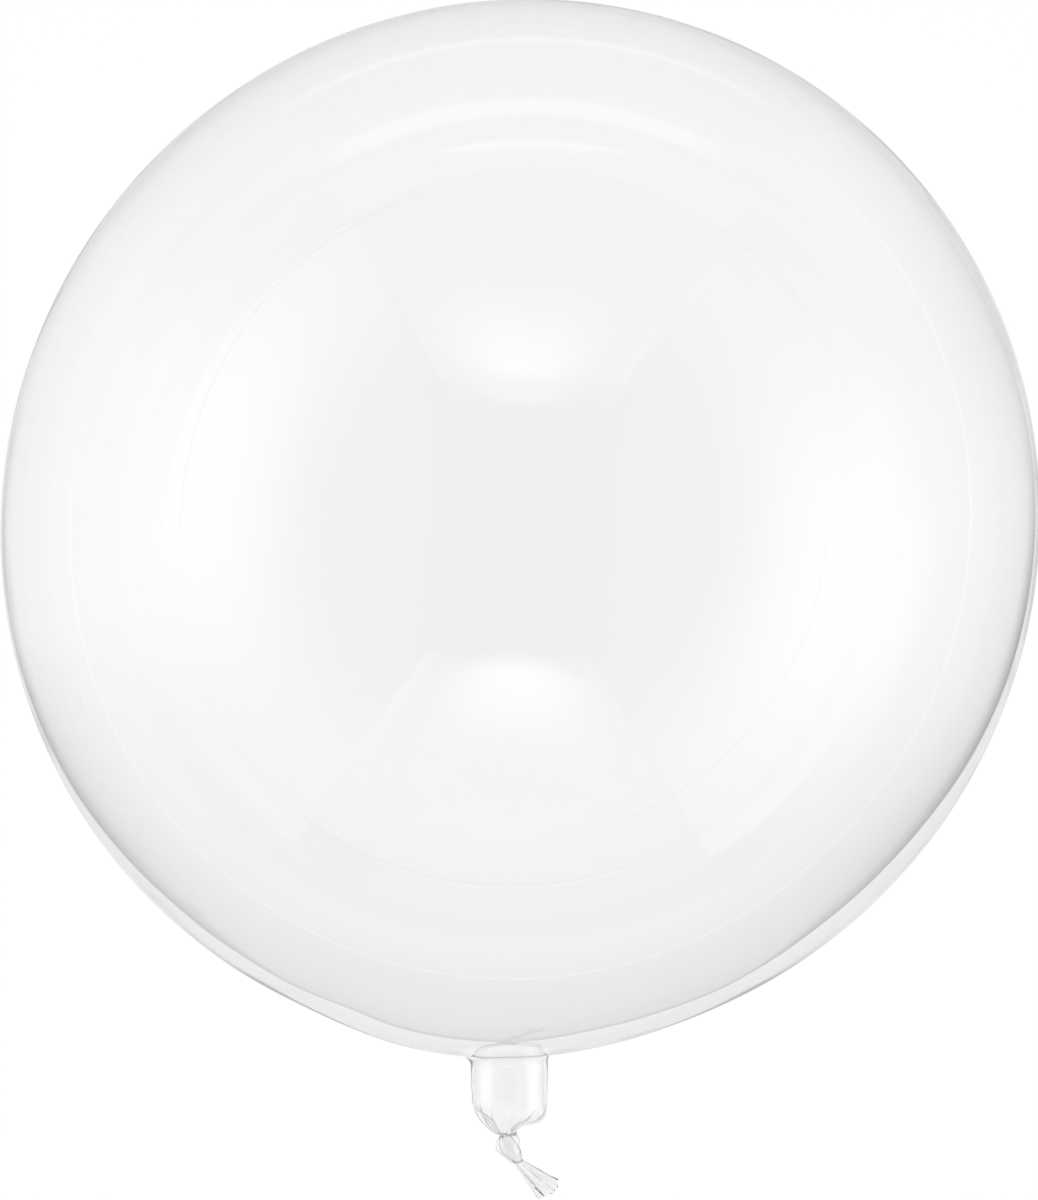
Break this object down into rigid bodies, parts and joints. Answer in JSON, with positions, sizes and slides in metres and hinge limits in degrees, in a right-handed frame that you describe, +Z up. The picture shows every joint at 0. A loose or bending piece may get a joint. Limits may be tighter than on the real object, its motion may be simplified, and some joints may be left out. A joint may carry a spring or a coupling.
{
  "type": "clear bubble balloon",
  "caption": "Clear film bubble balloon, blown up to a ball and sealed, with a short gathered neck, a knot and a crumpled film tail, lying on its side.",
  "frame": {"origin": "centre of the small flat spot that the balloon lies on", "axes": "+Z up, -Y along the neck towards the tail, +Y towards the crown"},
  "size_m": [0.401, 0.4655, 0.3973],
  "materials": {
    "clear_film": "gloss"
  },
  "bodies": {
    "root": {"bubble_balloon": "clear_film"}
  },
  "joints": []
}
